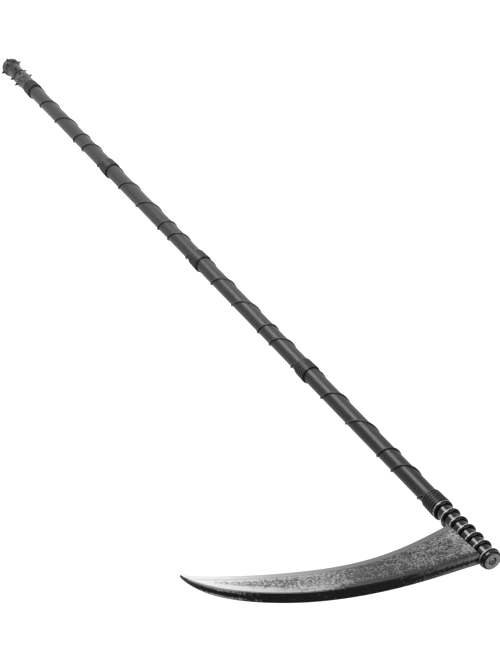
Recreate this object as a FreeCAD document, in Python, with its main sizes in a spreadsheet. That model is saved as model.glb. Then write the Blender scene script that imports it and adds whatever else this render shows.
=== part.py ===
import FreeCAD, Part
import math
import os

import Sketcher

# A knock-down stage scythe, standing on +Z: the spiked finial is at the bottom with its point at
# z = 0, four identical tubes plug into each other above it, and the ringed head is at the top.
# The blade leaves the head along +X and curves down towards the finial.  Millimetres throughout.

SIZES = {
    # shaft sections and their belled, ribbed collars
    "tube_diameter": 21.8,
    "tube_wall": 2.4,
    "plug_diameter": 20.0,
    "section_pitch": 313.0,
    "collar_length": 24.0,
    "collar_foot_diameter": 23.6,
    "collar_mouth_diameter": 25.0,
    "collar_foot_slope": 1.5,
    "collar_lip": 1.0,
    "rib_bulge": 0.75,
    "socket_depth": 20.0,
    "socket_gap": 0.1,
    "shoulder_gap": 0.3,
    "edge_break": 0.8,
    "ridge_radius": 1.6,
    "key_width": 3.0,
    "key_height": 0.7,
    "key_length": 18.0,
    "key_gap": 0.1,
    "key_end_gap": 0.5,
    # finial
    "finial_height": 104.0,
    "dome_radius": 15.0,
    "dome_centre": 19.8,
    "dome_shoulder": 9.0,
    "dome_shoulder_bow": 0.9,
    "neck_diameter": 23.0,
    "groove_diameter": 22.2,
    "bulge_diameter": 25.4,
    "bulge_bow": 0.6,
    "bead_bow": 0.7,
    "bead_low": 59.0,
    "bead_high": 63.0,
    "groove_height": 65.0,
    "bulge_low": 68.5,
    "bulge_high": 84.0,
    "upper_neck_low": 90.0,
    "upper_neck_high": 102.0,
    "spike_row_two": 53.0,
    "spike_row_three": 75.0,
    "spike_height": 4.8,
    "spike_base_radius": 2.8,
    "spike_point_radius": 0.35,
    "peg_radius": 1.5,
    "spike_sunk": 1.2,
    "peg_depth": 2.4,
    "peg_gap": 0.05,
    # ringed barrel of the head
    "barrel_bore": 15.0,
    "first_ring": 24.4,
    "ring_pitch": 16.3,
    "ring_width": 4.8,
    "ring_shoulder_radius": 11.6,
    "ring_diameter": 26.0,
    # end cap and its screw
    "cap_diameter": 24.0,
    "cap_thickness": 9.0,
    "cap_bevel": 2.4,
    "cap_bevel_height": 1.9,
    "cap_bevel_bow": 0.35,
    "cap_plug_length": 5.0,
    "cap_plug_break": 0.5,
    "recess_radius": 4.9,
    "recess_depth": 2.2,
    "recess_break": 0.3,
    "screw_radius": 1.5,
    "screw_hole_gap": 0.2,
    "screw_length": 19.0,
    "screw_taper": 2.0,
    "screw_head_radius": 3.5,
    "screw_head_height": 1.9,
    "screw_head_edge": 0.9,
    "screw_head_bow": 0.15,
    "screw_slot": 0.9,
    "screw_slot_length": 4.5,
    "screw_slot_depth": 1.1,
    # blade
    "blade_reference": 81.9,
    "blade_half": 7.6,
    "edge_half": 1.0,
    "bevel_half": 2.9,
    "bevel_width": 9.0,
    "rim_chamfer": 0.9,
    "blade_wall": 1.9,
    "blade_root": 10.5,
    "root_drop": 29.0,
    "tongue_drop": 24.9,
    "tongue_start": 4.0,
    "tongue_half": 3.0,
    "boss_radius": 7.0,
    "pilot_depth": 20.0,
    "fit_gap": 0.1,
}
SECTIONS = 4
RIBS = 6
BARREL_RINGS = 6
SPIKES_PER_ROW = 4
SPIKE_BEARING = 21.0
# A quarter circle stands out from its chord by this share of its radius.
QUARTER_BOW = 1 - math.sqrt(0.5)
BLADE_SIDES = {"blade_near_half": -1, "blade_far_half": 1}

# Height of the spiral ridge on a section, as shares of the section pitch, each time the ridge
# comes round to RIDGE_BEARING.  It winds left-handed, and its pitch is uneven on purpose.
RIDGE_BEARING = 35.0
RIDGE_CROSSINGS = (0.211, 0.412, 0.657, 0.765, 0.957)
RIDGE_START = (-0.62, 0.088)
RIDGE_END = (4.19, 0.9935)
RIDGE_STEPS_PER_TURN = 12
RIDGE_FADE_TURNS = 0.12
RIDGE_FADE_DEPTH = 1.7

# Blade sections from root to tip: the spine point and the edge point (x, z above the blade's
# reference height), and the share of the full thickness there.
BLADE_STATIONS = (
    ((10.5, 39.3), (10.5, -28.5), 1.0),
    ((60.0, 36.8), (52.0, -21.0), 1.0),
    ((115.0, 31.4), (102.0, -17.4), 1.0),
    ((168.0, 20.0), (150.0, -22.8), 1.0),
    ((217.0, 1.7), (196.0, -36.2), 1.0),
    ((262.0, -24.7), (241.0, -54.0), 0.98),
    ((292.0, -51.4), (277.0, -71.5), 0.86),
    ((307.0, -73.5), (299.0, -84.5), 0.6),
    ((313.6, -92.0), (311.8, -94.6), 0.25),
)
# The bevel takes up this much of the width at most, and where the blade thins towards the tip
# the edge keeps this much more of its thickness than the spine does.
WIDEST_BEVEL = 0.45
EDGE_KEPT = 0.3
# Engraved cracks: each end is (place along the blade counted in stations, share of the width from
# the spine), and the last number is how far the arc bows towards the tip.
CRACKS = (
    ((0.52, 0.27), (0.51, 0.04), 0.6),
    ((1.10, 0.51), (1.06, 0.04), 3.2),
    ((1.77, 0.55), (1.74, 0.03), 4.2),
    ((3.42, 0.32), (3.30, 0.05), 0.8),
    ((4.02, 0.47), (3.89, 0.06), 2.0),
)
CRACK_RADIUS = 0.45

UP = FreeCAD.Vector(0, 0, 1)
DOWN = FreeCAD.Vector(0, 0, -1)

doc = FreeCAD.newDocument("stage_scythe")
sheet = doc.addObject("Spreadsheet::Sheet", "sizes")


class Size:
    """A dimension that keeps the sheet formula it comes from."""

    def __init__(self, value, formula):
        self.value = value
        self.formula = formula

    def joined(self, sign, other, value):
        text = other.formula if isinstance(other, Size) else repr(float(other))
        return Size(value, f"({self.formula} {sign} {text})")

    def __add__(self, other):
        return self.joined("+", other, self.value + number(other))

    def __sub__(self, other):
        return self.joined("-", other, self.value - number(other))

    def __mul__(self, other):
        return self.joined("*", other, self.value * number(other))

    def __truediv__(self, other):
        return self.joined("/", other, self.value / number(other))


def number(value):
    """The plain number behind a Size, or the number itself."""
    return value.value if isinstance(value, Size) else float(value)


def fill_sheet():
    """Write every driving dimension to the sheet and return them as Sizes."""
    sizes = {}
    for row, (alias, value) in enumerate(SIZES.items(), start=1):
        sheet.set(f"A{row}", alias)
        sheet.set(f"B{row}", str(value))
        sheet.setAlias(f"B{row}", alias)
        sizes[alias] = Size(value, f"sizes.{alias}")
    doc.recompute()
    return sizes


s = fill_sheet()


def bind(item, **sizes):
    """Bind an object's properties to their sheet formulas; plain numbers are set as they are."""
    for name, size in sizes.items():
        setattr(item, name, number(size))
        if isinstance(size, Size):
            item.setExpression(name, size.formula)
    return item


def place(item, x=0.0, y=0.0, z=0.0, turn=None):
    """Put an object at x, y, z, each bound to the sheet where it is a Size."""
    corner = FreeCAD.Vector(number(x), number(y), number(z))
    item.Placement = FreeCAD.Placement(corner, turn or FreeCAD.Rotation())
    for axis, value in (("x", x), ("y", y), ("z", z)):
        if isinstance(value, Size):
            item.setExpression(f"Placement.Base.{axis}", value.formula)
    return item


def add(kind, name, **sizes):
    """Add a Part primitive with bound sizes."""
    return bind(doc.addObject(kind, name), **sizes)


def box(name, length, width, height, x, y, z):
    """A box with one corner at x, y, z."""
    return place(add("Part::Box", name, Length=length, Width=width, Height=height), x, y, z)


def cylinder(name, radius, height, x=0.0, y=0.0, z=0.0, turn=None):
    """A cylinder that starts at x, y, z and runs along its turned Z."""
    return place(add("Part::Cylinder", name, Radius=radius, Height=height), x, y, z, turn)


def fuse(name, shapes):
    """Join several solids."""
    joined = doc.addObject("Part::MultiFuse", name)
    joined.Shapes = shapes
    return joined


def cut(name, base, tool):
    """Take the tool away from the base."""
    result = doc.addObject("Part::Cut", name)
    result.Base = base
    result.Tool = tool
    return result


def gather(name, links):
    """Hold several loose solids together as one object."""
    group = doc.addObject("Part::Compound", name)
    group.Links = links
    return group


# ---------------------------------------------------------------------------------------------
# turned bodies

def half_plane_sketch(body, name, corners):
    """Sketch a closed outline on the body's XZ plane, with every corner bound to the sheet.

    A corner is (radius, height) or (radius, height, bow): bow is how far the side that starts
    there stands out from its chord.
    """
    sketch = body.newObject("Sketcher::SketchObject", name)
    plane = next(item for item in body.Origin.OriginFeatures if item.Role == "XZ_Plane")
    sketch.AttachmentSupport = [(plane, "")]
    sketch.MapMode = "FlatFace"
    ends = []
    for index, corner in enumerate(corners):
        after = corners[(index + 1) % len(corners)]
        start = FreeCAD.Vector(number(corner[0]), number(corner[1]), 0)
        finish = FreeCAD.Vector(number(after[0]), number(after[1]), 0)
        if len(corner) == 2:
            side = sketch.addGeometry(Part.LineSegment(start, finish))
            ends.append((side, 1, 2))
            continue
        chord = finish - start
        outward = FreeCAD.Vector(chord.y, -chord.x, 0).normalize()
        middle = (start + finish) / 2 + outward * number(corner[2])
        side = sketch.addGeometry(Part.Arc(start, middle, finish))
        forward = sketch.getPoint(side, 1).distanceToPoint(start) < 1e-6
        ends.append((side, 1, 2) if forward else (side, 2, 1))
        half_squared = square(corner[0], after[0], 4) + square(corner[1], after[1], 4)
        radius = (half_squared + as_size(corner[2]) * corner[2]) / (as_size(corner[2]) * 2)
        bound_constraint(sketch, f"arc{index}", ("Radius", side), radius)
    for index, corner in enumerate(corners):
        side, start_end, _ = ends[index]
        before, _, finish_end = ends[index - 1]
        sketch.addConstraint(Sketcher.Constraint("Coincident", before, finish_end, side, start_end))
        for letter, kind, value, axis in zip("rz", ("DistanceX", "DistanceY"), corner, (-2, -1)):
            if number(value) == 0:
                sketch.addConstraint(Sketcher.Constraint("PointOnObject", side, start_end, axis))
            else:
                bound_constraint(sketch, f"{letter}{index}", (kind, -1, 1, side, start_end), value)
    return sketch


def as_size(value):
    """A Size from a Size or a plain number."""
    return value if isinstance(value, Size) else Size(float(value), repr(float(value)))


def square(one, other, share):
    """The square of a difference, divided by share."""
    gap = as_size(one) - other
    return gap * gap / share


def bound_constraint(sketch, name, where, value):
    """Add a dimension to the sketch, bound to its formula."""
    index = sketch.addConstraint(Sketcher.Constraint(*where, number(value)))
    sketch.renameConstraint(index, name)
    if isinstance(value, Size):
        sketch.setExpression(f"Constraints.{name}", value.formula)


def turned(name, corners):
    """A body made by turning an outline about the shaft's axis."""
    body = doc.addObject("PartDesign::Body", name)
    sketch = half_plane_sketch(body, name + "_outline", corners)
    revolution = body.newObject("PartDesign::Revolution", name + "_turned")
    revolution.Profile = sketch
    revolution.ReferenceAxis = (sketch, ["V_Axis"])
    revolution.Angle = 360.0
    sketch.Visibility = False
    return body


tube_radius = s["tube_diameter"] / 2
tube_bore_radius = tube_radius - s["tube_wall"]
plug_radius = s["plug_diameter"] / 2
socket_radius = plug_radius + s["socket_gap"]
socket_floor = s["collar_length"] - s["socket_depth"]
overrun = 1.0


def collar_outline(start):
    """Outer corners of a ribbed collar that starts at a height, from its foot to its mouth."""
    foot = s["collar_foot_diameter"] / 2
    mouth = s["collar_mouth_diameter"] / 2
    corners = []
    for rib in range(RIBS):
        share = rib / RIBS
        radius = foot + (mouth - foot) * share
        corners.append((radius, start + (s["collar_length"] - s["collar_lip"]) * share, s["rib_bulge"]))
    corners.append((mouth, start + s["collar_length"] - s["collar_lip"]))
    corners.append((mouth, start + s["collar_length"]))
    return corners


def socket_outline(top, start):
    """Inner corners of a piece that ends in a collar: its bore from start, then the socket."""
    mouth = top + s["collar_length"] + overrun
    return [(0, start), (tube_bore_radius, start), (tube_bore_radius, top + socket_floor),
            (socket_radius, top + socket_floor), (socket_radius, mouth), (0, mouth)]


def plug_outline(foot):
    """Outer corners of a plug, from its foot on the axis up to its edge."""
    return [(0, foot), (plug_radius - s["edge_break"], foot), (plug_radius, foot + s["edge_break"])]


def key_rib(name, floor):
    """The rib in a collar's socket that stops the next piece from turning."""
    return box(name, s["key_height"] + overrun, s["key_width"], s["key_length"],
               as_size(0) - socket_radius - overrun, s["key_width"] * -0.5, floor)


def key_notch(name, foot):
    """The groove along a plug that the key rib runs in."""
    width = s["key_width"] + s["key_gap"] * 2
    depth = s["key_height"] + s["key_gap"]
    return box(name, depth + overrun, width, s["key_length"] + s["key_end_gap"] + overrun,
               as_size(0) - plug_radius - overrun, width * -0.5, foot - overrun)


# ---------------------------------------------------------------------------------------------
# shaft sections

def ridge_height(turns):
    """Share of the section pitch at which the ridge is after a number of turns."""
    knots = [RIDGE_START] + list(enumerate(RIDGE_CROSSINGS)) + [RIDGE_END]
    last = len(knots) - 2
    span = next((i for i in range(last) if turns <= knots[i + 1][0]), last)

    def slope(index):
        low = knots[max(index - 1, 0)]
        high = knots[min(index + 1, len(knots) - 1)]
        return (high[1] - low[1]) / (high[0] - low[0])

    (start, low), (finish, high) = knots[span], knots[span + 1]
    width = finish - start
    t = (turns - start) / width
    return (low * (1 + 2 * t) * (1 - t) ** 2 + high * t * t * (3 - 2 * t)
            + slope(span) * width * t * (1 - t) ** 2 - slope(span + 1) * width * t * t * (1 - t))


def ridge_path():
    """The ridge's centre line, sinking into the wall at both ends."""
    first, last = RIDGE_START[0], RIDGE_END[0]
    steps = round((last - first) * RIDGE_STEPS_PER_TURN)
    points = []
    for step in range(steps + 1):
        turns = first + (last - first) * step / steps
        to_end = min(turns - first, last - turns)
        sink = RIDGE_FADE_DEPTH * max(0.0, 1 - to_end / RIDGE_FADE_TURNS) ** 2
        angle = math.radians(RIDGE_BEARING - 360 * turns)
        radius = tube_radius.value - sink
        height = ridge_height(turns) * s["section_pitch"].value
        points.append(FreeCAD.Vector(radius * math.cos(angle), radius * math.sin(angle), height))
    curve = Part.BSplineCurve()
    curve.interpolate(points)
    return curve


def spiral_ridge(name):
    """The raised strip that winds up a section."""
    curve = ridge_path()
    path = doc.addObject("Part::Feature", name + "_path")
    path.Shape = Part.Wire([curve.toShape()])
    profile = add("Part::Circle", name + "_profile", Radius=s["ridge_radius"])
    start = curve.value(curve.FirstParameter)
    along = curve.tangent(curve.FirstParameter)[0]
    profile.Placement = FreeCAD.Placement(start, FreeCAD.Rotation(UP, along))
    sweep = doc.addObject("Part::Sweep", name)
    sweep.Sections = [profile]
    sweep.Spine = (path, ["Edge1"])
    sweep.Solid = True
    sweep.Frenet = False
    return sweep


def shaft_section(index):
    """One tube: a keyed plug below, a spiral ridge, and a belled, ribbed collar on top."""
    name = f"section_{index}"
    pitch = s["section_pitch"]
    shoulder = s["collar_length"] + s["shoulder_gap"]
    tube = [(plug_radius, shoulder), (tube_radius, shoulder), (tube_radius, pitch - s["collar_foot_slope"])]
    outer = turned(name + "_outer", plug_outline(socket_floor) + tube + collar_outline(pitch)
                   + [(0, pitch + s["collar_length"])])
    bore = turned(name + "_bore", socket_outline(pitch, socket_floor - overrun))
    hollow = cut(name + "_hollow", bore, key_rib(name + "_key", pitch + socket_floor))
    notch = key_notch(name + "_notch", socket_floor)
    solid = fuse(name + "_solid", [outer, spiral_ridge(name + "_ridge")])
    section = cut(name + "_part", solid, fuse(name + "_inside", [hollow, notch]))
    section.Label = f"shaft_section_{index}"
    return place(section, z=s["finial_height"] + pitch * (index - 1))


# ---------------------------------------------------------------------------------------------
# finial

def spike_seats():
    """Where each spike stands: its surface point and the direction it points."""
    seats = [(0.0, 0.0, s["dome_centre"] - s["dome_radius"], FreeCAD.Rotation(UP, DOWN))]
    rows = ((s["dome_centre"], s["dome_radius"]), (s["spike_row_two"], s["neck_diameter"] / 2),
            (s["spike_row_three"], s["bulge_diameter"] / 2))
    for height, radius in rows:
        for turn in range(SPIKES_PER_ROW):
            angle = math.radians(SPIKE_BEARING + turn * 360 / SPIKES_PER_ROW)
            out = FreeCAD.Vector(math.cos(angle), math.sin(angle), 0)
            seats.append((radius * out.x, radius * out.y, height, FreeCAD.Rotation(UP, out)))
    return seats


def spike_stack(name, kind, seats, depth, **sizes):
    """One primitive for each seat, each starting depth below the surface."""
    parts = []
    for index, (x, y, z, turn) in enumerate(seats):
        out = turn.multVec(UP)
        part = add(kind, f"{name}_{index}", **sizes)
        start = [as_size(surface) - depth * reach for surface, reach in zip((x, y, z), out)]
        parts.append(place(part, *start, turn))
    return parts


def finial():
    """The spiked knob that closes the bottom of the shaft, and its spikes."""
    top = s["finial_height"]
    neck = s["neck_diameter"] / 2
    bulge = s["bulge_diameter"] / 2 - s["bulge_bow"]
    dome = [(0, s["dome_centre"] - s["dome_radius"], s["dome_radius"] * QUARTER_BOW),
            (s["dome_radius"], s["dome_centre"], s["dome_shoulder_bow"]),
            (neck, s["dome_centre"] + s["dome_shoulder"])]
    bead = [(neck, s["bead_low"], s["bead_bow"]), (neck, s["bead_high"]),
            (s["groove_diameter"] / 2, s["groove_height"])]
    upper = [(bulge, s["bulge_low"], s["bulge_bow"]), (bulge, s["bulge_high"]),
             (neck, s["upper_neck_low"]), (neck, s["upper_neck_high"])]
    outer = turned("finial_outer", dome + bead + upper + collar_outline(top)
                   + [(0, top + s["collar_length"])])
    bore = turned("finial_bore", socket_outline(top, s["dome_centre"]))
    hollow = cut("finial_hollow", bore, key_rib("finial_key", top + socket_floor))
    seats = spike_seats()
    holes = spike_stack("spike_hole", "Part::Cylinder", seats, s["peg_depth"],
                        Radius=s["peg_radius"] + s["peg_gap"], Height=s["peg_depth"] + overrun)
    body = cut("finial_part", outer, fuse("finial_inside", [hollow] + holes))
    body.Label = "finial_knob"
    cones = spike_stack("spike_cone", "Part::Cone", seats, s["spike_sunk"], Radius1=s["spike_base_radius"],
                        Radius2=s["spike_point_radius"], Height=s["spike_height"] + s["spike_sunk"])
    pegs = spike_stack("spike_peg", "Part::Cylinder", seats, s["peg_depth"] - s["fit_gap"],
                       Radius=s["peg_radius"], Height=s["peg_depth"])
    whole = [fuse(f"spike_{index}", list(pair)) for index, pair in enumerate(zip(cones, pegs))]
    spikes = cut("spikes_part", gather("spikes_raw", whole), body)
    spikes.Label = "finial_spikes"
    return [body, spikes]


# ---------------------------------------------------------------------------------------------
# head

head_foot = s["finial_height"] + s["section_pitch"] * SECTIONS
barrel_radius = plug_radius
barrel_top = head_foot + s["first_ring"] + s["ring_pitch"] * BARREL_RINGS
blade_reference = head_foot + s["blade_reference"]
slot_floor = blade_reference - s["tongue_drop"]
cap_face = barrel_top + s["cap_thickness"]


def ring_outline(low):
    """Outer corners of one rounded ring that starts at a height, without its feet."""
    crown = s["ring_diameter"] / 2 - s["ring_shoulder_radius"]
    return [(s["ring_shoulder_radius"], low, crown), (s["ring_shoulder_radius"], low + s["ring_width"])]


def head_barrel():
    """The ringed barrel: a keyed plug below, six rings, and a slot for the blade."""
    foot = head_foot + socket_floor
    corners = plug_outline(foot)
    for ring in range(BARREL_RINGS):
        low = head_foot + s["first_ring"] + s["ring_pitch"] * ring
        corners += [(barrel_radius, low)] + ring_outline(low) + [(barrel_radius, low + s["ring_width"])]
    outer = turned("barrel_outer", corners + [(barrel_radius, barrel_top), (0, barrel_top)])
    height = barrel_top - foot + overrun * 2
    bore = cylinder("barrel_bore", s["barrel_bore"] / 2, height, z=foot - overrun)
    slab_width = (s["blade_half"] + s["fit_gap"]) * 2
    slab_low = blade_reference - s["root_drop"]
    ring_notch = box("ring_notch", s["ring_diameter"] / 2, slab_width, barrel_top - slab_low + overrun,
                     s["blade_root"] - s["fit_gap"], slab_width * -0.5, slab_low)
    slot_width = (s["tongue_half"] + s["fit_gap"]) * 2
    slot = box("tongue_slot", s["ring_diameter"] / 2, slot_width, barrel_top - slot_floor + overrun,
               s["tongue_start"], slot_width * -0.5, slot_floor)
    notch = key_notch("barrel_notch", foot)
    barrel = cut("barrel_part", outer, fuse("barrel_inside", [bore, ring_notch, slot, notch]))
    barrel.Label = "head_barrel"
    return barrel


def end_cap():
    """The cap that closes the barrel: the seventh ring, a bevelled nose and a recess for the screw."""
    plug = s["barrel_bore"] / 2 - s["fit_gap"]
    rim = s["cap_diameter"] / 2
    low = barrel_top - s["cap_plug_length"]
    seat = cap_face - s["recess_depth"]
    hole = s["screw_radius"] + s["screw_hole_gap"]
    stem = [(hole, low), (plug - s["cap_plug_break"], low), (plug, low + s["cap_plug_break"]),
            (plug, barrel_top)]
    nose = [(rim, barrel_top + s["ring_width"]), (rim, cap_face - s["cap_bevel_height"], s["cap_bevel_bow"]),
            (rim - s["cap_bevel"], cap_face)]
    recess = [(s["recess_radius"] + s["recess_break"], cap_face),
              (s["recess_radius"], cap_face - s["recess_break"]), (s["recess_radius"], seat), (hole, seat)]
    cap = turned("cap_turned", stem + ring_outline(barrel_top) + nose + recess)
    cap.Label = "end_cap"
    return cap


def cap_screw():
    """The cross-slotted screw that holds the cap to the split boss of the blade."""
    seat = cap_face - s["recess_depth"]
    top = seat + s["screw_head_height"]
    point = seat - s["screw_length"]
    shank = s["screw_radius"]
    head = s["screw_head_radius"]
    edge = s["screw_head_edge"]
    blank = turned("screw_blank", [
        (0, point), (shank / 2, point), (shank, point + s["screw_taper"]), (shank, seat), (head, seat),
        (head, top - edge, s["screw_head_bow"]), (head - edge, top), (0, top)])
    length = s["screw_slot_length"]
    width = s["screw_slot"]
    floor = top - s["screw_slot_depth"]
    height = s["screw_slot_depth"] + overrun
    slots = [box("slot_one", length, width, height, length * -0.5, width * -0.5, floor),
             box("slot_two", width, length, height, width * -0.5, length * -0.5, floor)]
    screw = cut("screw_part", blank, fuse("screw_slots", slots))
    screw.Label = "end_cap_screw"
    return screw


# ---------------------------------------------------------------------------------------------
# blade

def station_point(station, share, depth, side):
    """A point of a blade section: share of the way from spine to edge, depth out from the split."""
    (spine_x, spine_z), (edge_x, edge_z), _ = station
    return FreeCAD.Vector(spine_x + (edge_x - spine_x) * share, side * depth,
                          blade_reference.value + spine_z + (edge_z - spine_z) * share)


def station_width(station):
    """Distance from spine to edge."""
    (spine_x, spine_z), (edge_x, edge_z), _ = station
    return math.hypot(edge_x - spine_x, edge_z - spine_z)


def section_shape(station):
    """Half thicknesses at the spine, the bevel line and the edge, and the bevel line's share."""
    thick = station[2]
    bevel = 1 - min(s["bevel_width"].value / station_width(station), WIDEST_BEVEL)
    edge = s["edge_half"].value * min(1.0, thick + EDGE_KEPT)
    return s["blade_half"].value * thick, max(s["bevel_half"].value * thick, edge), edge, bevel


def section_outline(station, side, corners):
    """The points of a section from its (share of the width, depth) corners."""
    return [station_point(station, share, depth, side) for share, depth in corners]


def blade_section(station, side):
    """Outer outline of a blade half at a station."""
    spine, bevel_depth, edge, bevel = section_shape(station)
    chamfer = min(s["rim_chamfer"].value, spine / 2)
    rim = chamfer / station_width(station)
    return section_outline(station, side, [(0, 0), (0, spine - chamfer), (rim, spine),
                                           (bevel, bevel_depth), (1, edge), (1, 0)])


def cavity_section(station, side):
    """Outline of the hollow inside a blade half at a station."""
    spine, bevel_depth, _, bevel = section_shape(station)
    wall = s["blade_wall"].value
    near = wall / station_width(station)
    far = bevel - near
    slope = (spine - bevel_depth) / bevel
    return section_outline(station, side, [(near, 0), (near, spine - slope * near - wall),
                                           (far, spine - slope * far - wall), (far, 0)])


def loft(name, outlines):
    """A smooth solid through closed outlines."""
    sections = []
    for index, outline in enumerate(outlines):
        section = doc.addObject("Part::Polygon", f"{name}_{index}")
        section.Nodes = outline
        section.Close = True
        sections.append(section)
    result = doc.addObject("Part::Loft", name)
    result.Sections = sections
    result.Solid = True
    result.Ruled = False
    return result


def shifted(station, along):
    """A station moved along X."""
    (spine_x, spine_z), (edge_x, edge_z), thick = station
    return (spine_x + along, spine_z), (edge_x + along, edge_z), thick


def face_point(along, share, side):
    """A point on a blade half's outer face, at a place counted in stations and a share of the width."""
    index = int(along)
    mix = along - index
    corners = []
    for station in BLADE_STATIONS[index:index + 2]:
        spine, bevel_depth, _, bevel = section_shape(station)
        corners.append(station_point(station, share, spine - (spine - bevel_depth) * share / bevel, side))
    return corners[0] * (1 - mix) + corners[1] * mix


def cracks(name, side):
    """Shallow arcs engraved across the blade's face."""
    grooves = []
    for index, (start_at, end_at, bow) in enumerate(CRACKS):
        start, end = face_point(*start_at, side), face_point(*end_at, side)
        chord = end - start
        towards_tip = face_point(start_at[0] + 0.2, start_at[1], side) - start
        out = chord.cross(towards_tip).normalize()
        bulge = out.cross(chord).normalize()
        if bulge.dot(towards_tip) < 0:
            bulge = bulge * -1
        radius = (chord.Length ** 2 / 4 + bow ** 2) / (2 * bow)
        centre = (start + end) / 2 + bulge * (bow - radius)
        turn = FreeCAD.Rotation(start - centre, out.cross(start - centre), out, "ZXY")
        span = math.degrees(2 * math.asin(chord.Length / 2 / radius))
        forward = turn.multVec(FreeCAD.Vector(math.cos(math.radians(span)), math.sin(math.radians(span)), 0))
        if (centre + forward * radius).distanceToPoint(end) > 0.1:
            turn = turn * FreeCAD.Rotation(UP, -span)
        groove = add("Part::Torus", f"{name}_{index}", Radius1=radius, Radius2=CRACK_RADIUS, Angle3=span)
        grooves.append(place(groove, centre.x, centre.y, centre.z, turn))
    return grooves


def blade_half(label, side):
    """One moulded half of the hollow blade, with its share of the tongue and the screw boss."""
    outside = loft(label + "_outside", [blade_section(station, side) for station in BLADE_STATIONS])
    hollow_stations = [shifted(BLADE_STATIONS[0], s["blade_wall"].value * 1.5)] + list(BLADE_STATIONS[1:-2])
    hollow = loft(label + "_hollow", [cavity_section(station, side) for station in hollow_stations])
    low = slot_floor + s["fit_gap"]
    top = barrel_top - s["cap_plug_length"] - s["cap_plug_break"]
    tongue = box(label + "_tongue", s["blade_root"] - s["tongue_start"], s["tongue_half"], top - low,
                 s["tongue_start"], 0.0 if side > 0 else s["tongue_half"] * -1, low)
    boss = bind(cylinder(label + "_boss", s["boss_radius"], top - low, z=low,
                         turn=FreeCAD.Rotation(UP, 0 if side > 0 else 180)), Angle=180.0)
    pilot = cylinder(label + "_pilot", s["screw_radius"] + s["peg_gap"], s["pilot_depth"] + overrun,
                     z=top - s["pilot_depth"])
    shell = cut(label + "_shell", outside, fuse(label + "_cuts", [hollow] + cracks(label + "_crack", side)))
    half = cut(label + "_part", fuse(label + "_solid", [shell, tongue, boss]), pilot)
    half.Label = label
    return half


# ---------------------------------------------------------------------------------------------
# build, check and write

def check(parts):
    """Stop with a plain message if any object failed or any part isn't a valid solid."""
    failed = [item.Label for item in doc.Objects if {"Invalid", "Error"} & set(item.State)]
    if failed:
        raise RuntimeError("failed objects: " + ", ".join(failed))
    for part in parts:
        if part.Shape.isNull() or not part.Shape.isValid() or not part.Shape.Solids:
            raise RuntimeError("bad shape: " + part.Label)
        print(f"{part.Label}: {len(part.Shape.Solids)} solid(s), {part.Shape.Volume / 1000:.2f} cm3")


def main():
    parts = finial()
    parts += [shaft_section(index) for index in range(1, SECTIONS + 1)]
    parts += [head_barrel(), end_cap(), cap_screw()]
    parts += [blade_half(label, side) for label, side in BLADE_SIDES.items()]
    doc.recompute()
    check(parts)
    os.makedirs("parts", exist_ok=True)
    for part in parts:
        part.Shape.exportStep(f"parts/{part.Label}.step")


main()
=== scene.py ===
import math
from types import SimpleNamespace

import bmesh
import bpy
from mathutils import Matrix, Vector


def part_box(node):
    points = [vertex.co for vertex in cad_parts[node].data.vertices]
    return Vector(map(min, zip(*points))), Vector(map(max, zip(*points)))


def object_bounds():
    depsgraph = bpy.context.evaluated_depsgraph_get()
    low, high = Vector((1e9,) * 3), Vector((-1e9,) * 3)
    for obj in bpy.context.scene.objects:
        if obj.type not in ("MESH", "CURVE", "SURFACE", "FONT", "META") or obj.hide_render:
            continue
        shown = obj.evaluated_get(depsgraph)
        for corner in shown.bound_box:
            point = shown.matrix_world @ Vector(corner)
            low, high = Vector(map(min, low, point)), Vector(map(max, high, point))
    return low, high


bl_info = {
    "name": "Stage Scythe",
    "version": (1, 0, 0),
    "blender": (4, 5, 0),
    "location": "View3D > Sidebar > Scythe",
    "description": "Finishes for a knock-down stage scythe, and the studio it stands in",
    "category": "Material",
}

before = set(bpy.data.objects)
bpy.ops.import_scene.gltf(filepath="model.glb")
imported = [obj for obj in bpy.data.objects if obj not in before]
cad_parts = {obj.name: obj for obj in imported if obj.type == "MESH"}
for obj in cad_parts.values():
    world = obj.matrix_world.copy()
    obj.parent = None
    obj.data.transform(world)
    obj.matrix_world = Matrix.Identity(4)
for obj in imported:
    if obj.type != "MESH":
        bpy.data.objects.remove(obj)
cad_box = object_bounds()

# The shaft stands on +Z, with the spiked finial at the bottom and the ringed head and blade at the top.
# Lengths are in metres.
SECTIONS = [f"shaft_section_{number}" for number in (1, 2, 3, 4)]
BLADE_HALVES = ["blade_near_half", "blade_far_half"]

SECTION_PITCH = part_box(SECTIONS[1])[1].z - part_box(SECTIONS[0])[1].z
COLLAR_LENGTH = 0.024
COLLAR_GAP = 0.0005
CAP_THICKNESS = 0.009
FIRST_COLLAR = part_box("finial_knob")[1].z - COLLAR_LENGTH
CAP_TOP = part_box("end_cap")[1].z
BARREL_TOP = CAP_TOP - CAP_THICKNESS
# A ring's shoulder starts at the first radius and is full height at the second.
SHOULDER_START, SHOULDER_FULL = 0.0103, 0.0109
# The cap carries the seventh ring; each starts this far under its place on the pitch.
RINGS_ON_BARREL = 6
RING_START = 0.0004
# The silver on the rings is heaviest on this side of the barrel.
PAINTED_SIDE = math.radians(35)

# Specular IOR Level of each finish
SATIN_SHEEN = 0.13
GLOSS_SHEEN = 0.25
PAINT_SHEEN = 0.15
FLOOR_SHEEN = 0.1

FLOOR_REACH = 12.0
FLOOR_GAP = 0.0005
WORLD_LIGHT = 0.45
SENSOR_WIDTH = 36.0
KEY_BEARING, KEY_HEIGHT, KEY_DISTANCE = -125, 55, 4
KEY_SPREAD = math.radians(38)


# ---------------------------------------------------------------------------------------------
# settings that a user would change

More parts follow.
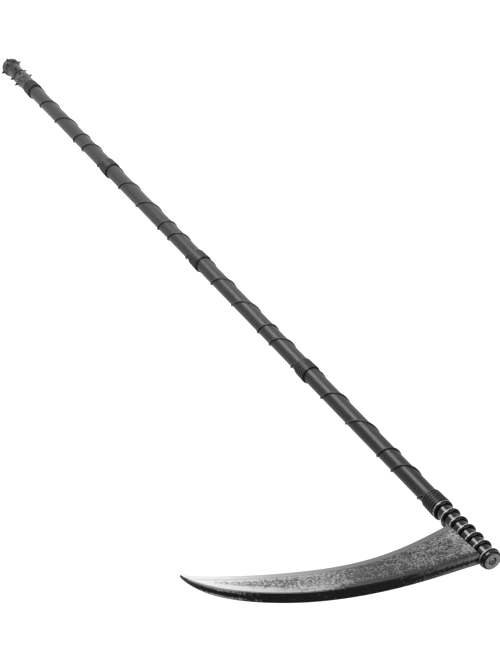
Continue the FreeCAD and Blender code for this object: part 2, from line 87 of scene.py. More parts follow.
class ShaftSettings(bpy.types.PropertyGroup):
    colour: bpy.props.FloatVectorProperty(
        name="Plastic", description="Colour of the moulded plastic", subtype="COLOR",
        default=(0.0065, 0.0065, 0.0068), min=0, max=1)
    gloss: bpy.props.FloatProperty(
        name="Roughness", description="How soft the plastic's highlight is", default=0.35, min=0, max=1)
    tube_radius: bpy.props.FloatProperty(
        name="Tube Radius", description="Plain outside radius of a section", default=0.0109, unit="LENGTH")
    ridge_radius: bpy.props.FloatProperty(
        name="Ridge Height", description="How far the spiral ridge stands off the tube", default=0.0016,
        unit="LENGTH")


class KnobSettings(bpy.types.PropertyGroup):
    colour: bpy.props.FloatVectorProperty(
        name="Plastic", description="Colour under the brushed paint", subtype="COLOR",
        default=(0.003, 0.003, 0.0031), min=0, max=1)
    paint: bpy.props.FloatVectorProperty(
        name="Paint", description="Colour of the grey dry-brushing", subtype="COLOR",
        default=(0.060, 0.060, 0.059), min=0, max=1)
    spike: bpy.props.FloatVectorProperty(
        name="Spikes", description="Colour of the spikes", subtype="COLOR",
        default=(0.004, 0.004, 0.0042), min=0, max=1)


class HeadSettings(bpy.types.PropertyGroup):
    colour: bpy.props.FloatVectorProperty(
        name="Gloss Black", description="Colour of the barrel and the cap's side", subtype="COLOR",
        default=(0.003, 0.003, 0.0032), min=0, max=1)
    silver: bpy.props.FloatVectorProperty(
        name="Silver Paint", description="Colour of the paint on the rings' shoulders", subtype="COLOR",
        default=(0.60, 0.60, 0.59), min=0, max=1)
    ring_pitch: bpy.props.FloatProperty(
        name="Ring Pitch", description="Distance from ring to ring", default=0.0163, unit="LENGTH")


class BladeSettings(bpy.types.PropertyGroup):
    under: bpy.props.FloatVectorProperty(
        name="Black Base", description="Colour under the sponged paint", subtype="COLOR",
        default=(0.005, 0.005, 0.0055), min=0, max=1)
    # the step from dull to bright silver is partly a painted highlight towards the tip
    dull: bpy.props.FloatVectorProperty(
        name="Dull Silver", description="Colour of the sponged paint at the root", subtype="COLOR",
        default=(0.135, 0.135, 0.135), min=0, max=1)
    silver: bpy.props.FloatVectorProperty(
        name="Bright Silver", description="Colour of the sponged paint at the tip", subtype="COLOR",
        default=(0.33, 0.33, 0.33), min=0, max=1)
    grain: bpy.props.FloatProperty(
        name="Sponge Grain", description="Size of one dab of the sponge", default=0.0016, unit="LENGTH")
    # how far the painted shade and highlight reach from an engraved crack
    crack_lip: bpy.props.FloatProperty(
        name="Crack Lip", description="How far the wear reaches from an engraved crack", default=0.0008,
        unit="LENGTH")


class StudioSettings(bpy.types.PropertyGroup):
    floor: bpy.props.FloatVectorProperty(
        name="Floor", description="Colour of the floor", subtype="COLOR", default=(0.94, 0.94, 0.94),
        min=0, max=1)
    camera_place: bpy.props.FloatVectorProperty(
        name="Camera", description="Where the camera stands", subtype="TRANSLATION",
        default=(0.9806, -1.4005, 2.9149))
    camera_turn: bpy.props.FloatVectorProperty(
        name="Camera Turn", description="Which way the camera looks", subtype="EULER",
        default=tuple(math.radians(angle) for angle in (-31.83, -26.80, 178.37)))
    lens: bpy.props.FloatProperty(name="Lens", description="Focal length in millimetres", default=108.1)
    key_power: bpy.props.FloatProperty(name="Key Light", description="Strength of the soft key", default=1.3)
    strip_power: bpy.props.FloatProperty(
        name="Strip Light", description="Power of the standing strip light, in watts", default=16.0)
    side_power: bpy.props.FloatProperty(
        name="Side Panel", description="Power of the wide panel at the side, in watts", default=1.1)
    floor_glow: bpy.props.FloatProperty(
        name="Floor Glow", description="Light that comes up through the floor", default=0.36)


class ScytheSettings(bpy.types.PropertyGroup):
    shaft: bpy.props.PointerProperty(name="Shaft", description="The four sections", type=ShaftSettings)
    knob: bpy.props.PointerProperty(name="Knob", description="The knob and its spikes", type=KnobSettings)
    head: bpy.props.PointerProperty(name="Head", description="The barrel and its cap", type=HeadSettings)
    blade: bpy.props.PointerProperty(name="Blade", description="Both halves", type=BladeSettings)
    studio: bpy.props.PointerProperty(name="Studio", description="Floor, lights and camera",
                                      type=StudioSettings)


# ---------------------------------------------------------------------------------------------
# shader wiring

class Wiring:
    """Adds nodes to a shader tree.  A value is a socket, a plain number or a tuple."""

    def __init__(self, tree):
        self.tree = tree

    def node(self, kind, **settings):
        made = self.tree.nodes.new(kind)
        for name, value in settings.items():
            setattr(made, name, value)
        return made

    def feed(self, socket, value):
        if isinstance(value, bpy.types.NodeSocket):
            self.tree.links.new(value, socket)
        else:
            socket.default_value = value

    def math(self, operation, *values, clamp=False):
        made = self.node("ShaderNodeMath", operation=operation, use_clamp=clamp)
        for socket, value in zip(made.inputs, values):
            self.feed(socket, value)
        return made.outputs[0]

    def add(self, *values):
        total = values[0]
        for value in values[1:]:
            total = self.math("ADD", total, value)
        return total

    def times(self, *values):
        total = values[0]
        for value in values[1:]:
            total = self.math("MULTIPLY", total, value)
        return total

    def minus(self, one, other):
        return self.math("SUBTRACT", one, other)

    def inverse(self, value):
        return self.math("SUBTRACT", 1.0, value, clamp=True)

    def step(self, value, low, high):
        """0 below low and 1 above high, smooth between them; low may be the higher number."""
        made = self.node("ShaderNodeMapRange", interpolation_type="SMOOTHSTEP")
        self.feed(made.inputs["Value"], value)
        self.feed(made.inputs["From Min"], low)
        self.feed(made.inputs["From Max"], high)
        return made.outputs["Result"]

    def level(self, value, low, high):
        """A share from 0 to 1 as a value from low to high."""
        return self.add(low, self.times(value, self.minus(high, low)))

    def mix(self, factor, one, other):
        made = self.node("ShaderNodeMix", data_type="RGBA")
        self.feed(made.inputs[0], factor)
        self.feed(made.inputs[6], as_colour(one))
        self.feed(made.inputs[7], as_colour(other))
        return made.outputs[2]

    def vector(self, x, y, z):
        made = self.node("ShaderNodeCombineXYZ")
        for socket, value in zip(made.inputs, (x, y, z)):
            self.feed(socket, value)
        return made.outputs[0]

    def split(self, vector):
        made = self.node("ShaderNodeSeparateXYZ")
        self.feed(made.inputs[0], vector)
        return list(made.outputs)

    def stretch(self, vector, along):
        """The same place with each axis divided, so that patterns grow that many times along it."""
        made = self.node("ShaderNodeVectorMath", operation="MULTIPLY")
        self.feed(made.inputs[0], vector)
        self.feed(made.inputs[1], tuple(1 / share for share in along))
        return made.outputs[0]

    def noise(self, vector, grain, detail=3.0, roughness=0.55, distortion=0.0):
        """Noise from 0 to 1 whose lumps are about grain metres across."""
        made = self.node("ShaderNodeTexNoise")
        self.feed(made.inputs["Vector"], vector)
        self.feed(made.inputs["Scale"], self.math("DIVIDE", 1.0, grain))
        self.feed(made.inputs["Detail"], detail)
        self.feed(made.inputs["Roughness"], roughness)
        self.feed(made.inputs["Distortion"], distortion)
        return made.outputs["Fac"]

    def cells(self, vector, grain):
        """Distance to the nearest of a scatter of points about grain metres apart, in grains."""
        made = self.node("ShaderNodeTexVoronoi")
        self.feed(made.inputs["Vector"], vector)
        self.feed(made.inputs["Scale"], self.math("DIVIDE", 1.0, grain))
        return made.outputs["Distance"]

    def effect(self, group, **values):
        """Place an effect group with its own values and return its outputs by name."""
        made = self.node("ShaderNodeGroup", node_tree=group)
        for name, value in values.items():
            self.feed(made.inputs[name.replace("_", " ").title()], value)
        return made.outputs

    def curve(self, value, points):
        """A smooth curve through (place, height) points, both from 0 to 1."""
        made = self.node("ShaderNodeFloatCurve")
        line = made.mapping.curves[0]
        line.points[0].location = points[0]
        line.points[1].location = points[-1]
        for place in points[1:-1]:
            line.points.new(*place)
        made.mapping.update()
        self.feed(made.inputs["Value"], value)
        return made.outputs[0]


def as_colour(value):
    """A colour with its alpha, or the socket itself."""
    if isinstance(value, bpy.types.NodeSocket):
        return value
    return (*value, 1.0) if len(value) == 3 else tuple(value)


def toned(colour, share):
    """The same colour, darker for a share under 1 and lighter over it."""
    return tuple(part * share for part in colour)


def effect_group(name, inputs, build):
    """Make a node group.  inputs is {name: default}, and build returns {output name: socket}."""
    tree = bpy.data.node_groups.new(name, "ShaderNodeTree")
    for label, default in inputs.items():
        kind = "NodeSocketVector" if label == "Place" else "NodeSocketFloat"
        socket = tree.interface.new_socket(label, in_out="INPUT", socket_type=kind)
        if label != "Place":
            socket.default_value = default
    entry = tree.nodes.new("NodeGroupInput")
    results = build(Wiring(tree), {socket.name: socket for socket in entry.outputs if socket.name})
    for label in results:
        tree.interface.new_socket(label, in_out="OUTPUT", socket_type="NodeSocketFloat")
    leave = tree.nodes.new("NodeGroupOutput")
    for label, socket in results.items():
        tree.links.new(socket, leave.inputs[label])
    return tree


def moulded_skin(w, given):
    """The faint orange peel, flow lines and cloudiness of moulded plastic."""
    place = given["Place"]
    peel = w.noise(place, given["Peel"], 2.0)
    flow = w.noise(w.stretch(place, (1, 1, 30)), w.times(given["Peel"], 1.5), 3.0)
    cloud = w.noise(place, w.times(given["Peel"], 14.0), 3.0)
    return {"Height": w.add(w.times(peel, 0.6), w.times(flow, 0.4)), "Cloud": cloud, "Flow": flow}


def handling_scuffs(w, given):
    """Fine scratches running several ways, gathered in rubbed patches."""
    place = given["Place"]
    one = w.noise(w.stretch(place, (1, 1, 22)), given["Width"], 2.0, 0.6, 0.4)
    two = w.noise(w.stretch(place, (9, 9, 1)), given["Width"], 2.0, 0.6, 0.4)
    line = w.math("MAXIMUM", w.step(one, 0.66, 0.72), w.step(two, 0.69, 0.75))
    patch = w.step(w.noise(place, w.times(given["Width"], 40.0), 3.0), 0.42, 0.68)
    return {"Scuff": w.times(line, patch, given["Amount"]), "Rub": w.times(patch, given["Amount"])}


def dabbed_paint(w, given):
    """Paint put on with a sponge or a nearly dry brush: Cover is its share, Body its thickness."""
    place = given["Place"]
    fine = w.noise(place, given["Grain"], 4.0, 0.62, 0.6)
    pores = w.cells(place, w.times(given["Grain"], 1.3))
    broad = w.noise(place, w.times(given["Grain"], 9.0), 3.0, 0.5)
    dab = w.add(w.times(fine, 0.72), w.times(pores, 0.28), w.times(w.minus(broad, 0.5), given["Patchiness"]))
    edge = w.math("SUBTRACT", 0.78, w.times(given["Amount"], 0.56))
    cover = w.step(dab, w.minus(edge, given["Softness"]), w.add(edge, given["Softness"]))
    return {"Cover": cover, "Body": w.times(cover, w.level(fine, 0.5, 1.0))}


def grimed_recess(w, given):
    """Painted shade: 1 deep in grooves and corners, within Reach of the walls that shade them."""
    shade = w.node("ShaderNodeAmbientOcclusion", samples=6, only_local=True)
    w.feed(shade.inputs["Distance"], given["Reach"])
    return {"Recess": w.step(shade.outputs["AO"], 0.92, 0.45)}


def build_effects():
    """Every effect group, by name."""
    return {
        "skin": effect_group("moulded_skin", {"Place": None, "Peel": 0.0011}, moulded_skin),
        "scuffs": effect_group("handling_scuffs", {"Place": None, "Width": 0.0004, "Amount": 1.0},
                               handling_scuffs),
        "paint": effect_group(
            "dabbed_paint",
            {"Place": None, "Grain": 0.002, "Amount": 0.5, "Patchiness": 0.4, "Softness": 0.05},
            dabbed_paint),
        "grime": effect_group("grimed_recess", {"Reach": 0.002}, grimed_recess),
    }


def new_material(name, build):
    """A material whose Principled shader is fed by build(wiring, place, normal, shader)."""
    material = bpy.data.materials.new(name)
    material.use_nodes = True
    w = Wiring(material.node_tree)
    coordinates = w.node("ShaderNodeTexCoord")
    shader = material.node_tree.nodes["Principled BSDF"]
    build(w, coordinates.outputs["Object"], coordinates.outputs["Normal"], shader)
    return material


def raise_relief(w, shader, *layers):
    """Stack bumps on the shader's normal; a layer is (height, depth in metres)."""
    normal = None
    for height, depth in layers:
        bump = w.node("ShaderNodeBump")
        bump.inputs["Strength"].default_value = 1.0
        w.feed(bump.inputs["Distance"], depth)
        w.feed(bump.inputs["Height"], height)
        if normal is not None:
            w.feed(bump.inputs["Normal"], normal)
        normal = bump.outputs["Normal"]
    w.feed(shader.inputs["Normal"], normal)


def paint_node(node, material):
    """Give a CAD node its material."""
    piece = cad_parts[node]
    piece.data.materials.clear()
    piece.data.materials.append(material)


def settings():
    return bpy.context.scene.stage_scythe


def effects():
    """The effect groups, built the first time they are asked for."""
    if not hasattr(effects, "made"):
        effects.made = build_effects()
    return effects.made


def radius_of(w, place):
    """Distance from the shaft's axis."""
    x, y, _ = w.split(place)
    return w.math("SQRT", w.add(w.times(x, x), w.times(y, y)))


# ---------------------------------------------------------------------------------------------
# shaft

def collar_share(w, z):
    """Place within a collar, from 0 at its foot to 1 at its mouth; above 1 on the plain tube."""
    along = w.math("FLOORED_MODULO", w.minus(z, FIRST_COLLAR - COLLAR_GAP), SECTION_PITCH)
    return w.math("DIVIDE", along, COLLAR_LENGTH + COLLAR_GAP)


def satin_shaft(w, place, normal, shader):
    """Satin black moulding, rubbed on the ridge and the ribs, with painted shade between the ribs."""
    look = settings().shaft
    skin = w.effect(effects()["skin"], place=place)
    scuffs = w.effect(effects()["scuffs"], place=place, amount=0.8)
    grime = w.effect(effects()["grime"], reach=0.0022)["Recess"]
    radius = radius_of(w, place)
    z = w.split(place)[2]
    on_collar = w.step(collar_share(w, z), 1.02, 0.98)
    crest = w.times(w.step(radius, look.tube_radius + look.ridge_radius * 0.55,
                           look.tube_radius + look.ridge_radius), w.inverse(on_collar))
    worn = w.math("MAXIMUM", w.times(crest, 0.8), scuffs["Scuff"])
    base = w.mix(skin["Cloud"], toned(look.colour, 0.8), toned(look.colour, 1.25))
    rubbed = w.mix(w.times(worn, 0.35), base, toned(look.colour, 3.2))
    # painted shade: darker in the grooves between the ribs and in other recesses
    w.feed(shader.inputs["Base Color"], w.mix(w.times(grime, 0.85), rubbed, (0.006, 0.006, 0.006)))
    rough = w.add(look.gloss, w.times(w.minus(skin["Cloud"], 0.5), 0.12), w.times(scuffs["Rub"], 0.06),
                  w.times(scuffs["Scuff"], 0.15), w.times(grime, 0.3))
    w.feed(shader.inputs["Roughness"], rough)
    shader.inputs["Specular IOR Level"].default_value = SATIN_SHEEN
    raise_relief(w, shader, (skin["Height"], 0.00004), (scuffs["Scuff"], -0.00003))


class SCYTHE_OT_shaft_sections(bpy.types.Operator):
    """Finish the four plug-together shaft sections in satin black plastic"""
    bl_idname = "scythe.shaft_sections"
    bl_label = "Shaft Sections"

    def execute(self, context):
        material = new_material("satin_shaft", satin_shaft)
        for node in SECTIONS:
            paint_node(node, material)
        return {"FINISHED"}


# ---------------------------------------------------------------------------------------------
# finial

def brushed_knob(w, place, normal, shader):
    """Black moulding with nearly dry grey paint dragged over its high places."""
    look = settings().knob
    skin = w.effect(effects()["skin"], place=place)
    grime = w.effect(effects()["grime"], reach=0.003)["Recess"]
    z = w.split(place)[2]
    on_collar = w.step(z, FIRST_COLLAR - 0.004, FIRST_COLLAR + 0.001)
    neck_radius, bulge_radius = 0.0113, 0.0126
    proud = w.step(radius_of(w, place), neck_radius, bulge_radius)
    amount = w.times(w.add(0.24, w.times(proud, 0.16)), w.inverse(w.times(on_collar, 0.8)))
    brush = w.effect(effects()["paint"], place=w.stretch(place, (1, 1, 1.6)), grain=0.0030, amount=amount,
                     patchiness=1.1, softness=0.14)
    # painted shade: the grey paint thins out in the recesses, leaving them dark
    cover = w.times(brush["Cover"], w.inverse(w.times(grime, 0.7)))
    black = w.mix(skin["Cloud"], toned(look.colour, 0.7), toned(look.colour, 1.4))
    w.feed(shader.inputs["Base Color"], w.mix(cover, black, look.paint))
    w.feed(shader.inputs["Roughness"], w.add(0.36, w.times(cover, 0.22), w.times(grime, 0.2)))
    shader.inputs["Specular IOR Level"].default_value = SATIN_SHEEN
    raise_relief(w, shader, (skin["Height"], 0.00006), (brush["Body"], 0.00008))


def black_spike(w, place, normal, shader):
    """Hard black plastic, rubbed grey on the points."""
    look = settings().knob
    skin = w.effect(effects()["skin"], place=place, peel=0.0006)
    scuffs = w.effect(effects()["scuffs"], place=place, width=0.0003)
    spike_foot, spike_tip = 0.0135, 0.0185
    point = w.step(radius_of(w, place), spike_foot, spike_tip)
    rub = w.math("MAXIMUM", w.times(point, skin["Cloud"], 0.7), scuffs["Scuff"])
    w.feed(shader.inputs["Base Color"], w.mix(rub, look.spike, toned(look.spike, 6)))
    w.feed(shader.inputs["Roughness"], w.add(0.3, w.times(skin["Cloud"], 0.15), w.times(rub, 0.2)))
    shader.inputs["Specular IOR Level"].default_value = SATIN_SHEEN
    raise_relief(w, shader, (skin["Height"], 0.00004))


class SCYTHE_OT_finial(bpy.types.Operator):
    """Finish the knob in brushed grey over black, and its spikes in black"""
    bl_idname = "scythe.finial"
    bl_label = "Finial"

    def execute(self, context):
        paint_node("finial_knob", new_material("brushed_knob", brushed_knob))
        paint_node("finial_spikes", new_material("black_spikes", black_spike))
        return {"FINISHED"}


# ---------------------------------------------------------------------------------------------
# head

def gloss_black(w, place, shader, extra_cover, extra_colour):
    """Glossy black moulding under a layer of paint; extra_cover is where the paint lies."""
    look = settings().head
    skin = w.effect(effects()["skin"], place=place, peel=0.0016)
    scuffs = w.effect(effects()["scuffs"], place=place, width=0.00035)
    black = w.mix(skin["Cloud"], toned(look.colour, 0.7), toned(look.colour, 1.5))
    dusty = w.mix(w.times(scuffs["Scuff"], 0.3), black, (0.12, 0.12, 0.12))
    w.feed(shader.inputs["Base Color"], w.mix(extra_cover, dusty, extra_colour))
    gloss = w.add(0.13, w.times(skin["Cloud"], 0.06), w.times(scuffs["Scuff"], 0.12))
    w.feed(shader.inputs["Roughness"], w.add(gloss, w.times(extra_cover, 0.33)))
    shader.inputs["Specular IOR Level"].default_value = GLOSS_SHEEN
    raise_relief(w, shader, (skin["Height"], 0.00004), (extra_cover, 0.00006))


def gloss_barrel(w, place, normal, shader):
    """Glossy black with silver paint wiped along the lower shoulder of every ring."""
    look = settings().head
    thin_line, broad_line, line_edge = 0.0020, 0.0040, 0.0004
    x, y, z = w.split(place)
    radius = radius_of(w, place)
    ragged = w.times(w.minus(w.noise(place, 0.0028, 4.0, 0.6), 0.5), 0.0016)
    first_ring = BARREL_TOP - look.ring_pitch * RINGS_ON_BARREL - RING_START
    above = w.math("FLOORED_MODULO", w.minus(z, first_ring), look.ring_pitch)
    # how far round towards the painted side, in metres from the axis
    sweep = w.add(w.times(x, math.cos(PAINTED_SIDE)), w.times(y, math.sin(PAINTED_SIDE)))
    upper = w.add(w.level(w.step(sweep, 0.0085, 0.0125), thin_line, broad_line), ragged)
    line = w.times(w.step(above, w.add(upper, line_edge), w.minus(upper, line_edge)),
                   w.step(w.add(radius, ragged), SHOULDER_START, SHOULDER_FULL))
    worn_through = w.step(w.noise(place, 0.0011, 3.0), 0.30, 0.42)
    # a few stray dabs beside the blade's root
    dabs = w.effect(effects()["paint"], place=place, grain=0.0020,
                    amount=w.times(w.step(sweep, 0.0045, 0.0085), 0.56), patchiness=0.5, softness=0.10)
    root = w.times(w.step(w.minus(z, BARREL_TOP - look.ring_pitch * 5), -0.004, 0.004),
                   w.step(w.minus(z, BARREL_TOP - look.ring_pitch * 4), 0.004, -0.002))
    cover = w.math("MAXIMUM", w.times(line, worn_through), w.times(dabs["Cover"], root, 0.8))
    tone = w.mix(w.step(above, w.times(upper, 0.55), upper), look.silver, toned(look.silver, 0.55))
    gloss_black(w, place, shader, cover, tone)


def grey_cap(w, place, normal, shader):
    """Glossy black side and bevel, and a flat nose dabbed with matt silver-grey paint."""
    recess_radius, recess_edge = 0.0046, 0.0005
    nose_radius, nose_edge = 0.0094, 0.0007
    dark_grey, pale_grey = (0.07, 0.07, 0.07), (0.42, 0.42, 0.41)
    z = w.split(place)[2]
    radius = radius_of(w, place)
    ragged = w.times(w.minus(w.noise(place, 0.002, 4.0, 0.6), 0.5), 0.0012)
    near_top = w.step(w.add(z, ragged), CAP_TOP - 0.0030, CAP_TOP - 0.0022)
    on_nose = w.times(w.step(radius, recess_radius, recess_radius + recess_edge),
                      w.step(w.add(radius, ragged), nose_radius + nose_edge, nose_radius))
    dabs = w.effect(effects()["paint"], place=place, grain=0.0016, amount=0.80, patchiness=0.5, softness=0.12)
    shoulder = w.times(w.step(w.add(z, ragged), BARREL_TOP + 0.0027, BARREL_TOP + 0.0019),
                       w.step(radius, SHOULDER_START, SHOULDER_FULL))
    cover = w.math("MAXIMUM", w.times(near_top, on_nose, dabs["Cover"]), shoulder)
    tone = w.mix(w.noise(place, 0.003, 4.0, 0.6), dark_grey, pale_grey)
    gloss_black(w, place, shader, cover, tone)


def slotted_screw(w, place, normal, shader):
    """Dull grey metal with a streaked grain, and painted shade in the slots."""
    grain = w.noise(w.stretch(place, (1, 14, 1)), 0.0004, 3.0)
    grime = w.effect(effects()["grime"], reach=0.0012)["Recess"]
    tone = w.mix(grain, (0.22, 0.22, 0.22), (0.42, 0.42, 0.41))
    # painted shade: dark and not metallic deep in the slots
    w.feed(shader.inputs["Base Color"], w.mix(w.times(grime, 0.8), tone, (0.02, 0.02, 0.02)))
    w.feed(shader.inputs["Metallic"], w.inverse(w.times(grime, 0.8)))
    w.feed(shader.inputs["Roughness"], w.level(grain, 0.30, 0.5))
    raise_relief(w, shader, (grain, 0.00003))


class SCYTHE_OT_head_barrel(bpy.types.Operator):
    """Finish the ringed barrel in gloss black with silver shoulders"""
    bl_idname = "scythe.head_barrel"
    bl_label = "Head Barrel"

    def execute(self, context):
        paint_node("head_barrel", new_material("gloss_barrel", gloss_barrel))
        return {"FINISHED"}


class SCYTHE_OT_end_cap(bpy.types.Operator):
    """Finish the end cap and its screw"""
    bl_idname = "scythe.end_cap"
    bl_label = "End Cap and Screw"

    def execute(self, context):
        paint_node("end_cap", new_material("grey_cap", grey_cap))
        paint_node("end_cap_screw", new_material("cap_screw", slotted_screw))
        return {"FINISHED"}


# ---------------------------------------------------------------------------------------------
# blade

def blade_outline(cuts=14):
    """Slice the blade across X: (x, spine height, edge height) for each slice, root to tip."""
    barrel_radius, short_of_tip = 0.012, 0.0012
    start, end = barrel_radius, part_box(BLADE_HALVES[0])[1].x - short_of_tip
    found = []
    for index in range(cuts):
        share = 1 - (1 - index / (cuts - 1)) ** 1.5
        x = start + (end - start) * share
        slab = bmesh.new()
        slab.from_mesh(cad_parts[BLADE_HALVES[0]].data)
        cut = bmesh.ops.bisect_plane(slab, geom=slab.verts[:] + slab.edges[:] + slab.faces[:],
                                     plane_co=(x, 0, 0), plane_no=(1, 0, 0))
        heights = [item.co.z for item in cut["geom_cut"] if isinstance(item, bmesh.types.BMVert)]
        found.append((x, max(heights), min(heights)))
        slab.free()
    return found


def blade_ways(w, place):
    """Ways over the blade: along it from 0 to 1, depth under the spine and height over the edge."""
    outline = blade_outline()
    low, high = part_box(BLADE_HALVES[0])
    first, last = outline[0][0], outline[-1][0]
    tall = high.z - low.z
    x, y, z = w.split(place)
    along = w.math("DIVIDE", w.minus(x, first), last - first, clamp=True)
    spine = w.curve(along, [((at - first) / (last - first), (top - low.z) / tall) for at, top, _ in outline])
    edge = w.curve(along, [((at - first) / (last - first), (bottom - low.z) / tall)
                           for at, _, bottom in outline])
    height = w.math("DIVIDE", w.minus(z, low.z), tall)
    under_spine = w.times(w.minus(spine, height), tall)
    over_edge = w.times(w.minus(height, edge), tall)
    return SimpleNamespace(along=along, under_spine=under_spine, over_edge=over_edge, x=x, y=y,
                           flat=w.vector(x, y, w.times(under_spine, -1.0)))


def blade_zones(w, at):
    """Shares from 0 to 1: towards the tip, beside the barrel, and on the rim by the tip, where a highlight is
    painted.
    """
    to_tip = w.add(w.times(w.step(at.along, 0.34, 0.68), 0.35), w.times(w.step(at.along, 0.62, 1.0), 0.65))
    by_barrel = w.step(at.x, 0.034, 0.014)
    # painted highlight along the rim under the spine, towards the tip
    rim_highlight = w.times(w.step(at.under_spine, 0.0065, 0.0010), w.step(at.along, 0.58, 0.86))
    return SimpleNamespace(to_tip=to_tip, by_barrel=by_barrel, rim_highlight=rim_highlight)


def sponge_amount(w, at, zones):
    """How much of the face the sponge has covered."""
    # smears and drags of the sponge, along the blade near the root
    smear = w.noise(w.stretch(at.flat, (9, 1, 1)), 0.0060, 4.0, 0.6, 0.8)
    smears = w.times(w.step(smear, 0.50, 0.66), w.step(at.along, 0.70, 0.12))
    drag = w.noise(w.stretch(at.flat, (7, 1, 1)), 0.0045, 4.0, 0.6)
    drags = w.times(w.step(drag, 0.52, 0.68), w.step(at.along, 0.60, 0.02))
    # thinner paint on the rim under the spine, in the middle of the tip half and a third of the way out
    bare_rim = w.times(w.step(at.under_spine, 0.0120, 0.0010), w.step(at.along, 0.62, 0.40))
    middle = w.times(w.step(at.under_spine, 0.008, 0.016), w.step(at.over_edge, 0.010, 0.018))
    dull_zone = w.times(w.step(at.along, 0.20, 0.34), w.step(at.along, 0.60, 0.40))
    return w.add(0.46, w.times(zones.to_tip, 0.44), w.times(zones.rim_highlight, 0.40), w.times(bare_rim, -0.36),
                 w.times(smears, -0.14), w.times(drags, 0.10), w.times(zones.by_barrel, 0.10),
                 w.times(middle, w.step(at.along, 0.45, 0.80), -0.26), w.times(dull_zone, -0.13))


def face_paint(w, at, zones, sponged):
    """The sponged face, and the smooth strip along the edge with a thin dark line where they meet."""
    height = w.add(at.over_edge, w.times(w.minus(w.noise(at.flat, 0.02, 3.0), 0.5), 0.002))
    strip = w.step(height, 0.0098, 0.0086)
    crease = w.times(w.step(height, 0.0078, 0.0088), w.step(height, 0.0108, 0.0094))
    wiped = w.level(w.noise(w.stretch(at.flat, (12, 1, 1)), 0.002, 3.0), 0.30, 0.50)
    strip_cover = w.add(wiped, w.times(zones.to_tip, 0.75))
    return w.times(w.level(strip, sponged, strip_cover), w.inverse(w.times(crease, 0.45)))


def spine_wall_paint(w, place, at):
    """The spine's wall: bare, but for a lap of paint at the root and dabs near the tip."""
    wander = w.times(w.minus(w.noise(place, 0.004, 4.0, 0.65), 0.5), 0.003)
    out = w.add(w.math("ABSOLUTE", at.y), wander)
    tip_dabs = w.times(w.step(at.along, 0.76, 0.93), w.step(out, 0.0014, 0.0042))
    root_lap = w.times(w.step(at.along, 0.40, 0.04), w.step(out, -0.0010, 0.0050))
    amount = w.add(w.times(tip_dabs, 0.74), w.times(root_lap, 0.80))
    return w.effect(effects()["paint"], place=place, grain=0.0020, amount=amount, patchiness=0.3,
                    softness=0.20)["Cover"]


def painted_crack_shading(w, at, normal, on_face, reach):
    """The lips of the engraved cracks, by the way they face: (painted shade, towards the tip; painted
    highlight, towards the root).
    """
    rounded = w.node("ShaderNodeBevel", samples=8)
    rounded.inputs["Radius"].default_value = reach
    tilt = w.minus(w.split(rounded.outputs["Normal"])[0], w.split(normal)[0])
    inside = w.times(w.step(at.under_spine, 0.003, 0.005), w.step(at.over_edge, 0.010, 0.012), on_face)
    return w.times(inside, w.step(tilt, -0.03, -0.12)), w.times(inside, w.step(tilt, 0.03, 0.12))


def silvered_blade(w, place, normal, shader):
    """Black plastic sponged with silver: thin and dull at the root, nearly solid and brighter at the tip,
    that brightening partly a painted highlight.
    """
    look = settings().blade
    at = blade_ways(w, place)
    zones = blade_zones(w, at)
    on_face = w.step(w.math("ABSOLUTE", w.split(normal)[1]), 0.55, 0.8)
    dabs = w.effect(effects()["paint"], place=w.stretch(at.flat, (1.3, 1, 1)), grain=look.grain,
                    amount=sponge_amount(w, at, zones), patchiness=0.14, softness=0.10)
    painted = w.level(on_face, spine_wall_paint(w, place, at), face_paint(w, at, zones, dabs["Cover"]))
    grime = w.effect(effects()["grime"], reach=0.0024)["Recess"]
    # painted shade and painted highlight on the two sides of each crack
    crack_shade, crack_highlight = painted_crack_shading(w, at, normal, on_face, look.crack_lip)
    # painted shade: no silver in the recesses
    cover = w.math("MAXIMUM", w.times(painted, w.inverse(grime), w.inverse(crack_shade)), crack_highlight)
    # brighter silver towards the tip, partly heavier paint and partly a painted highlight; also on the
    # painted rim and crack highlights and beside the barrel
    brightness = zones.to_tip
    for share in (zones.rim_highlight, w.times(zones.by_barrel, 0.28), w.times(crack_highlight, 0.6)):
        brightness = w.math("MAXIMUM", brightness, share)
    silver = w.mix(brightness, look.dull, look.silver)
    w.feed(shader.inputs["Base Color"], w.mix(cover, look.under, silver))
    w.feed(shader.inputs["Roughness"], w.level(cover, 0.34, 0.50))
    shader.inputs["Specular IOR Level"].default_value = PAINT_SHEEN
    pitted = w.noise(at.flat, 0.0030, 4.0, 0.6)
    raise_relief(w, shader, (w.times(pitted, on_face), 0.0004), (dabs["Body"], 0.00014))


class SCYTHE_OT_blade(bpy.types.Operator):
    """Finish both moulded halves of the blade in sponged silver over black"""
    bl_idname = "scythe.blade"
    bl_label = "Blade"

    def execute(self, context):
        material = new_material("silvered_blade", silvered_blade)
        for node in BLADE_HALVES:
            paint_node(node, material)
        return {"FINISHED"}


# ---------------------------------------------------------------------------------------------
# studio

def soft_floor(w, place, normal, shader):
    """Pale matt paint with the faintest unevenness."""
    look = settings().studio
    cloud = w.noise(place, 0.6, 3.0)
    w.feed(shader.inputs["Base Color"], w.mix(cloud, look.floor, toned(look.floor, 0.985)))
    shader.inputs["Roughness"].default_value = 0.9
    shader.inputs["Specular IOR Level"].default_value = FLOOR_SHEEN
    shader.inputs["Emission Color"].default_value = (1, 1, 1, 1)
    shader.inputs["Emission Strength"].default_value = look.floor_glow


def towards(bearing, height):
    """A unit vector at a bearing from +X and a height over the horizon, in degrees."""
    turn, rise = math.radians(bearing), math.radians(height)
    return Vector((math.cos(turn) * math.cos(rise), math.sin(turn) * math.cos(rise), math.sin(rise)))


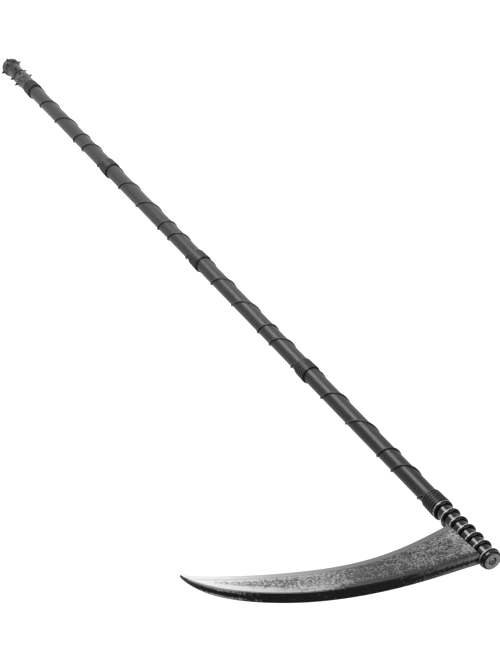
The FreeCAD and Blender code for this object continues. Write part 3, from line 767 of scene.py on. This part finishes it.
def lay_floor():
    """The floor, just under the lowest point of the scythe."""
    mesh = bpy.data.meshes.new("floor")
    corners = [(x * FLOOR_REACH, y * FLOOR_REACH, 0) for x, y in ((-1, -1), (1, -1), (1, 1), (-1, 1))]
    mesh.from_pydata(corners, [], [(0, 1, 2, 3)])
    floor = bpy.data.objects.new("floor", mesh)
    floor.location.z = cad_box[0].z - FLOOR_GAP
    mesh.materials.append(new_material("floor_paint", soft_floor))
    bpy.context.scene.collection.objects.link(floor)


def add_lamp(name, kind, place, aim, energy, **sizes):
    """A lamp at a place, shining at aim."""
    data = bpy.data.lights.new(name, kind)
    data.energy = energy
    for size, value in sizes.items():
        setattr(data, size, value)
    lamp = bpy.data.objects.new(name, data)
    lamp.location = place
    lamp.rotation_euler = (Vector(place) - Vector(aim)).to_track_quat("Z", "Y").to_euler()
    lamp.visible_camera = False
    bpy.context.scene.collection.objects.link(lamp)
    return lamp


def hang_lights(look):
    """A soft key, a standing strip and a side panel, in a pale world."""
    middle = Vector((0, 0, 0.75))
    key_place = middle + towards(KEY_BEARING, KEY_HEIGHT) * KEY_DISTANCE
    add_lamp("key", "SUN", key_place, middle, look.key_power, angle=KEY_SPREAD)
    # bearing and distance from the shaft, height of the middle, width, height of the panel, power
    for name, bearing, out, height, width, tall, power in (
            ("strip", -73, 0.50, 0.70, 0.28, 1.10, look.strip_power),
            ("side", -132, 0.35, 0.45, 0.42, 0.90, look.side_power)):
        centre = Vector((0, 0, height))
        add_lamp(name, "AREA", centre + towards(bearing, 0) * out, centre, power,
                 shape="RECTANGLE", size=width, size_y=tall)
    world = bpy.data.worlds.new("studio")
    world.use_nodes = True
    background = world.node_tree.nodes["Background"]
    background.inputs["Color"].default_value = (1, 1, 1, 1)
    background.inputs["Strength"].default_value = WORLD_LIGHT
    bpy.context.scene.world = world


def stand_camera(look):
    """The camera, and the plain view transform that keeps the floor white."""
    scene = bpy.context.scene
    camera = bpy.data.objects.new("camera", bpy.data.cameras.new("camera"))
    camera.data.lens = look.lens
    camera.data.sensor_width = SENSOR_WIDTH
    camera.location = look.camera_place
    camera.rotation_euler = look.camera_turn
    scene.collection.objects.link(camera)
    scene.camera = camera
    scene.view_settings.view_transform = "Standard"


class SCYTHE_OT_studio(bpy.types.Operator):
    """Put up the floor, the lights and the camera"""
    bl_idname = "scythe.studio"
    bl_label = "Studio"

    def execute(self, context):
        look = settings().studio
        lay_floor()
        hang_lights(look)
        stand_camera(look)
        return {"FINISHED"}


# ---------------------------------------------------------------------------------------------
# panel, registration and running order

PIECE_OPERATORS = (SCYTHE_OT_shaft_sections, SCYTHE_OT_finial, SCYTHE_OT_head_barrel, SCYTHE_OT_end_cap,
                   SCYTHE_OT_blade, SCYTHE_OT_studio)


class SCYTHE_PT_panel(bpy.types.Panel):
    """Lists the scythe's pieces and the studio"""
    bl_idname = "SCYTHE_PT_panel"
    bl_label = "Stage Scythe"
    bl_space_type = "VIEW_3D"
    bl_region_type = "UI"
    bl_category = "Scythe"

    def draw(self, context):
        for operator in PIECE_OPERATORS:
            self.layout.operator(operator.bl_idname)


CLASSES = (ShaftSettings, KnobSettings, HeadSettings, BladeSettings, StudioSettings, ScytheSettings,
           *PIECE_OPERATORS, SCYTHE_PT_panel)


def register():
    for item in CLASSES:
        bpy.utils.register_class(item)
    bpy.types.Scene.stage_scythe = bpy.props.PointerProperty(type=ScytheSettings)


def unregister():
    del bpy.types.Scene.stage_scythe
    for item in reversed(CLASSES):
        bpy.utils.unregister_class(item)


def main():
    register()
    bpy.ops.scythe.shaft_sections()
    bpy.ops.scythe.finial()
    bpy.ops.scythe.head_barrel()
    bpy.ops.scythe.end_cap()
    bpy.ops.scythe.blade()
    bpy.ops.scythe.studio()


if __name__ == "__main__":
    main()
